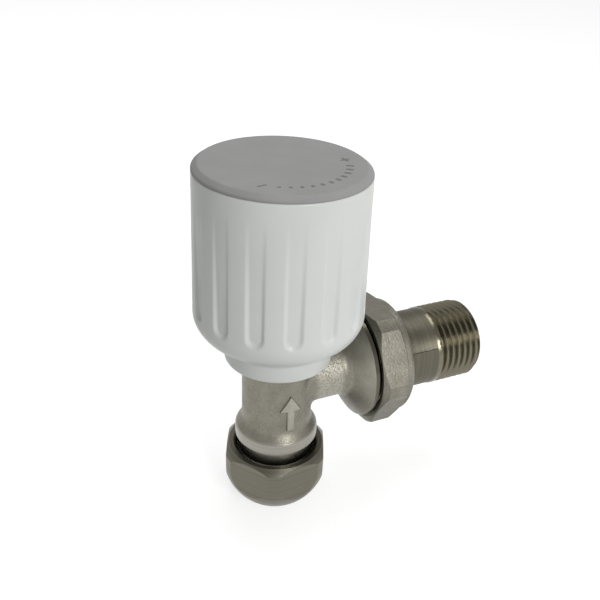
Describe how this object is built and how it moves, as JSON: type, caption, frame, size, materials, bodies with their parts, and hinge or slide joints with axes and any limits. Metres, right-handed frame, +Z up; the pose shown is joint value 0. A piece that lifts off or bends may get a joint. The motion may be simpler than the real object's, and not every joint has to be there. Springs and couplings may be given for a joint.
{
  "type": "angled radiator valve",
  "caption": "Hand-operated angle valve with a fluted white handwheel, a compression joint for a pipe below and a threaded union tail for a radiator at the side.",
  "frame": {"origin": "on the valve axis, in the mouth of the compression nut where the pipe enters", "axes": "+Z up the valve axis to the handwheel, +X along the tail towards the radiator"},
  "size_m": [0.0747, 0.04, 0.0894],
  "materials": {
    "forged_nickel": "nickel plate over a blasted forging, satin with fine grain",
    "turned_nickel": "nickel plate over turned brass, semi-bright with fine turning lines",
    "bare_brass": "turned, unplated",
    "white_moulding": "moulded, satin gloss, cool white",
    "grey_moulding": "moulded, fine matte grain, darker printed scale",
    "black_rubber": "smooth, matte",
    "sealing_fibre": "compressed sealing fibre, matte",
    "white_packing": "waxy, smooth",
    "plain_steel": "zinc plated"
  },
  "bodies": {
    "body": {"valve_body": "forged_nickel", "bonnet": "bare_brass", "bonnet_seal": "black_rubber", "gland_packing": "white_packing", "gland_nut": "bare_brass"},
    "plug": {"plug": "bare_brass", "plug_clip": "plain_steel", "plug_seal": "black_rubber", "plug_screw": "bare_brass"},
    "handwheel": {"spindle": "bare_brass", "spindle_ring_lower": "black_rubber", "spindle_ring_upper": "black_rubber", "handwheel": "white_moulding", "top_disc": "grey_moulding", "handwheel_washer": "plain_steel", "handwheel_screw": "plain_steel"},
    "olive": {"olive": "bare_brass"},
    "compression_nut": {"compression_nut": "turned_nickel"},
    "tail": {"tailpiece": "turned_nickel", "tail_seal": "sealing_fibre"},
    "union_nut": {"union_nut": "forged_nickel"}
  },
  "joints": [
    {"name": "plug_lift", "type": "slide", "parent": "body", "child": "plug", "axis": [0, 0, 1], "range_m": [0, 0.00374]},
    {"name": "handwheel_turn", "type": "hinge", "parent": "plug", "child": "handwheel", "pos_m": [0, 0, 0.07], "axis": [0, 0, 1], "range_deg": [0, 900]},
    {"name": "olive_slide", "type": "slide", "parent": "body", "child": "olive", "axis": [0, 0, -1], "range_m": [0, 0.00725]},
    {"name": "compression_nut_turn", "type": "hinge", "parent": "olive", "child": "compression_nut", "pos_m": [0, 0, 0.0075], "axis": [0, 0, -1], "range_deg": [0, 1440]},
    {"name": "tail_draw", "type": "slide", "parent": "body", "child": "tail", "axis": [1, 0, 0], "range_m": [0, 0.00453]},
    {"name": "union_nut_turn", "type": "hinge", "parent": "tail", "child": "union_nut", "pos_m": [0.026, 0, 0.0343], "axis": [1, 0, 0], "range_deg": [0, 900]}
  ],
  "couplings": [
    {"joint": "handwheel_turn", "follows": "plug_lift", "rad_per_m": 4188.8},
    {"joint": "compression_nut_turn", "follows": "olive_slide", "rad_per_m": 3463.7},
    {"joint": "union_nut_turn", "follows": "tail_draw", "rad_per_m": 3463.7}
  ]
}
